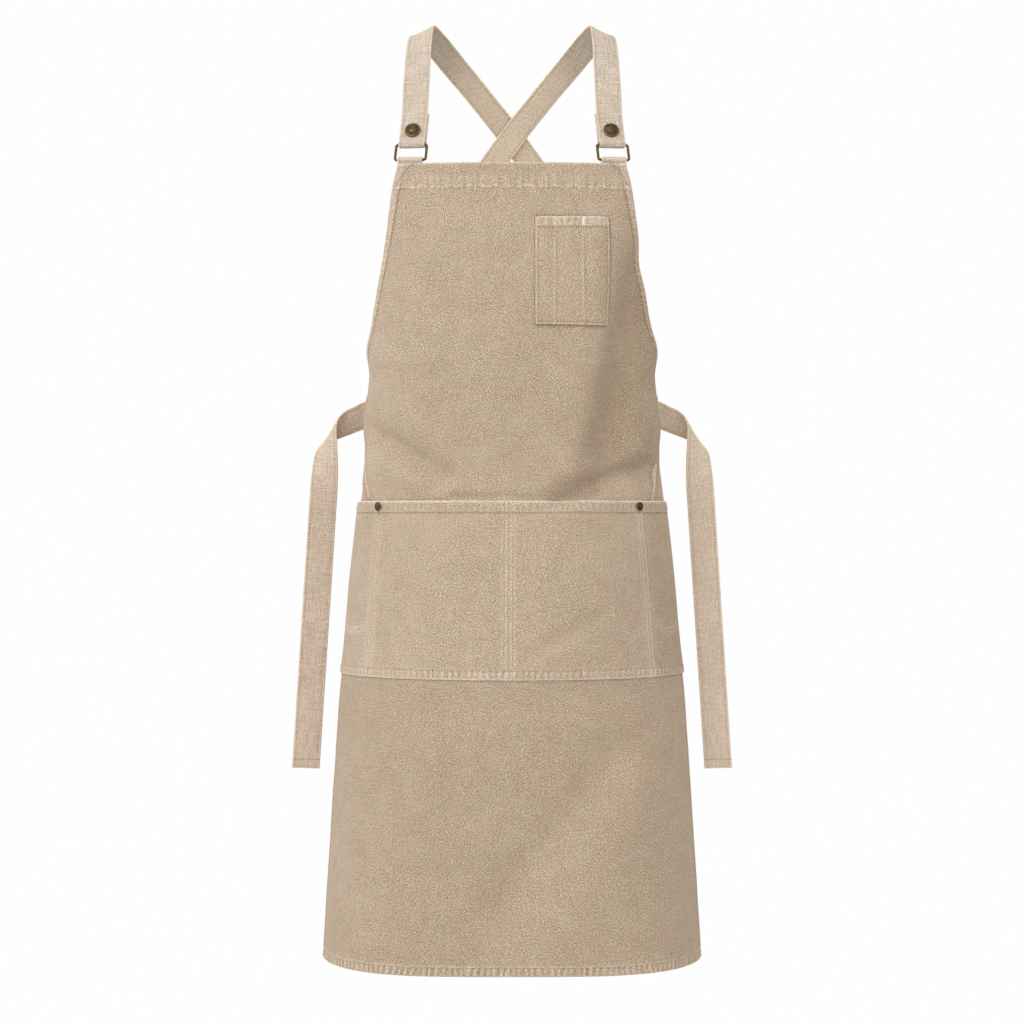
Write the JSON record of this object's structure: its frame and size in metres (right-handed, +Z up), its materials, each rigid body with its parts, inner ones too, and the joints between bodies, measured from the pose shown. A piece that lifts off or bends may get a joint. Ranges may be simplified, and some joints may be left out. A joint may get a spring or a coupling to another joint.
{
  "type": "cross back apron",
  "caption": "Canvas cross back apron with a divided waist pocket, a chest pocket, straps that snap to brass rings and cross behind, and waist ties, in its worn shape.",
  "frame": {"origin": "midway between the undersides of the two straps, where they pass over the shoulders", "axes": "+X to the right as the front is looked at, +Y towards the back, +Z up"},
  "size_m": [0.4758, 0.2673, 0.9918],
  "materials": {
    "canvas": "washed khaki twill canvas, matt",
    "strap_cloth": "the same cloth folded double and stitched, a little paler, matt",
    "brass": "antique brass, darkened, with worn bright edges"
  },
  "bodies": {
    "root": {"apron_body": "canvas", "waist_pocket": "canvas", "chest_pocket": "canvas", "rivet_left": "brass", "tab_left": "strap_cloth", "ring_left": "brass", "strap_left": "strap_cloth", "snap_cap_left": "brass", "snap_stud_left": "brass", "tie_left": "strap_cloth", "rivet_right": "brass", "tab_right": "strap_cloth", "ring_right": "brass", "strap_right": "strap_cloth", "snap_cap_right": "brass", "snap_stud_right": "brass", "tie_right": "strap_cloth"}
  },
  "joints": []
}
